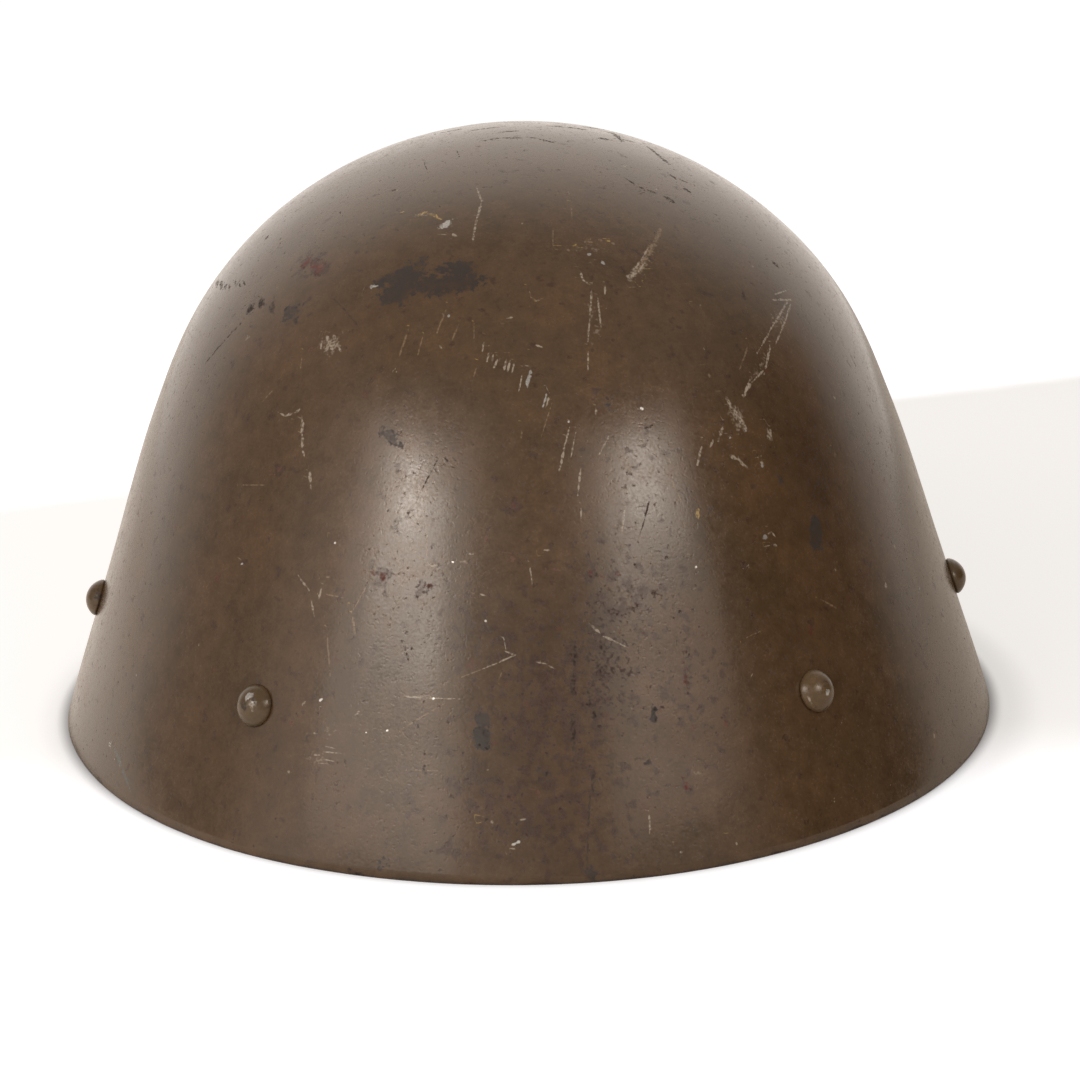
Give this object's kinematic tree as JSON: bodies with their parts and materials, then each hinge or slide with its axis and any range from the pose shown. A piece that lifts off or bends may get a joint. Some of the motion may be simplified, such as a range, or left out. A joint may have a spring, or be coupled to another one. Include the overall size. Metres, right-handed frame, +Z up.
{
  "type": "military helmet",
  "caption": "Brimless painted steel helmet shell, egg-shaped in plan, with a conical skirt, a round dome, a plain cut rim and domed rivets.",
  "frame": {"origin": "middle of the rim's outline, on the surface that the rim rests on", "axes": "+Z up to the crown, -Y forward to the brow, +X to the wearer's left"},
  "size_m": [0.244, 0.282, 0.148],
  "materials": {
    "shell_paint": "worn satin olive-brown paint on pressed steel, scratched and smudged",
    "rivet_paint": "thick glossy olive-brown paint on domed rivets, chipped to bare steel"
  },
  "bodies": {
    "root": {"shell": "shell_paint", "brow_rivet_left": "rivet_paint", "brow_rivet_right": "rivet_paint", "temple_rivet_left": "rivet_paint", "temple_rivet_right": "rivet_paint", "nape_rivet_left": "rivet_paint", "nape_rivet_right": "rivet_paint"}
  },
  "joints": []
}
